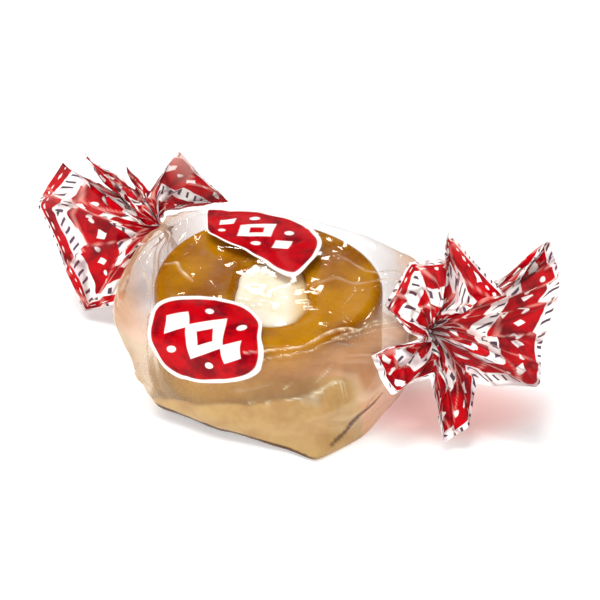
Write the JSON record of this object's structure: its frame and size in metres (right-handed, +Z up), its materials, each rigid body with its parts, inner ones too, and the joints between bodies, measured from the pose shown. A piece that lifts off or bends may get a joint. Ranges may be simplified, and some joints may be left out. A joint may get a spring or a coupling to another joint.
{
  "type": "wrapped caramel candy",
  "caption": "Round soft caramel with a cream core in a loose clear film wrapper, twisted shut at both ends with crumpled tails.",
  "frame": {"origin": "middle of the flat underside, below the axis of the caramel disc", "axes": "+Z up, +X along the twist towards one tail, -Y towards the side with the boxy fold"},
  "size_m": [0.0725, 0.0336, 0.0219],
  "materials": {
    "caramel": "soft golden brown caramel, smooth and slightly waxy",
    "cream": "soft off-white cream, fine grained and matt",
    "film": "clear crinkled film, glossy, with red and white bands printed on the tails"
  },
  "bodies": {
    "root": {"caramel": "caramel", "cream": "cream", "wrapper": "film"}
  },
  "joints": []
}
